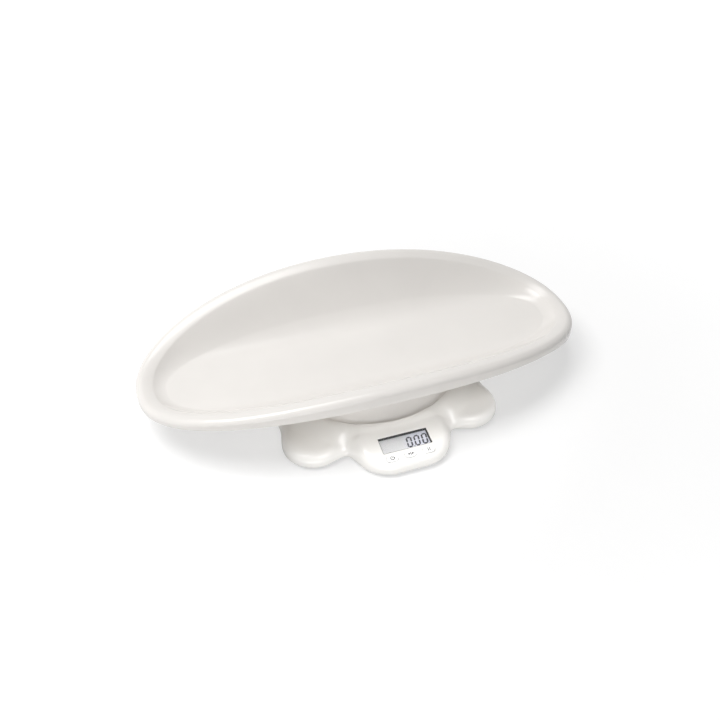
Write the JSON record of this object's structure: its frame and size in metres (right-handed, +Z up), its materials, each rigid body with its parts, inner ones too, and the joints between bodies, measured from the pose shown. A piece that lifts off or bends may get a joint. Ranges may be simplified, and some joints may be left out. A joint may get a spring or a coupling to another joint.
{
  "type": "digital baby weighing scale",
  "caption": "Baby scale with a long oval bowl tray on a lobed base that holds a display, keys, cells and load-cell feet.",
  "frame": {"origin": "on the table, under the middle of the whole scale's outline box", "axes": "+X along the tray, to the user's right; +Y away from the user; +Z up"},
  "size_m": [0.55, 0.3128, 0.091],
  "materials": {
    "tray_plastic": "glossy warm white moulded plastic",
    "base_plastic": "glossy warm white moulded plastic",
    "key_plastic": "white key caps",
    "black_plastic": "matt black",
    "holder_plastic": "matt natural white",
    "rubber": "matt grey",
    "lens": "clear acrylic",
    "lcd": "grey liquid crystal cell",
    "zebra": "layered conductive rubber",
    "board": "green solder mask",
    "chip": "black epoxy",
    "steel": "zinc plated",
    "cell_steel": "stamped steel",
    "nickel": "nickel plated",
    "battery_jacket": "plain printed jacket",
    "wire_grey": "grey insulation",
    "wire_red": "red insulation"
  },
  "bodies": {
    "base": {"top_shell": "base_plastic", "bottom_shell": "base_plastic", "display_lens": "lens", "display_frame": "black_plastic", "display_glass": "lcd", "display_connectors": "zebra", "main_board": "board", "board_parts": "chip", "key_switches": "chip", "load_cell_fl": "cell_steel", "load_cell_fr": "cell_steel", "load_cell_rl": "cell_steel", "load_cell_rr": "cell_steel", "foot_fl": "base_plastic", "foot_fr": "base_plastic", "foot_rl": "base_plastic", "foot_rr": "base_plastic", "cell_holders": "holder_plastic", "foot_pads": "rubber", "battery_1": "battery_jacket", "battery_2": "battery_jacket", "battery_3": "battery_jacket", "battery_4": "battery_jacket", "battery_contacts": "nickel", "shell_screws": "steel", "board_screws": "steel", "cell_wire_fl": "wire_grey", "cell_wire_fr": "wire_grey", "cell_wire_rl": "wire_grey", "cell_wire_rr": "wire_grey", "battery_wires": "wire_red"},
    "tray": {"tray": "tray_plastic", "tray_pads": "rubber"},
    "on_off_key": {"on_off_key": "key_plastic", "on_off_plunger": "chip"},
    "tare_key": {"tare_key": "key_plastic", "tare_plunger": "chip"},
    "hold_key": {"hold_key": "key_plastic", "hold_plunger": "chip"},
    "battery_cover": {"battery_cover": "base_plastic"}
  },
  "joints": [
    {"name": "tray_lift", "type": "slide", "parent": "base", "child": "tray", "axis": [0, 0, 1], "range_m": [0, 0.12]},
    {"name": "on_off_key_press", "type": "slide", "parent": "base", "child": "on_off_key", "axis": [0, 0.1409, -0.99], "range_m": [0, 0.0005], "stiffness_N_per_m": 2400, "springref_m": -0.0002},
    {"name": "tare_key_press", "type": "slide", "parent": "base", "child": "tare_key", "axis": [0, 0.1409, -0.99], "range_m": [0, 0.0005], "stiffness_N_per_m": 2400, "springref_m": -0.0002},
    {"name": "hold_key_press", "type": "slide", "parent": "base", "child": "hold_key", "axis": [0, 0.1409, -0.99], "range_m": [0, 0.0005], "stiffness_N_per_m": 2400, "springref_m": -0.0002},
    {"name": "battery_cover_slide", "type": "slide", "parent": "base", "child": "battery_cover", "axis": [0, 1, 0], "range_m": [0, 0.006]}
  ]
}
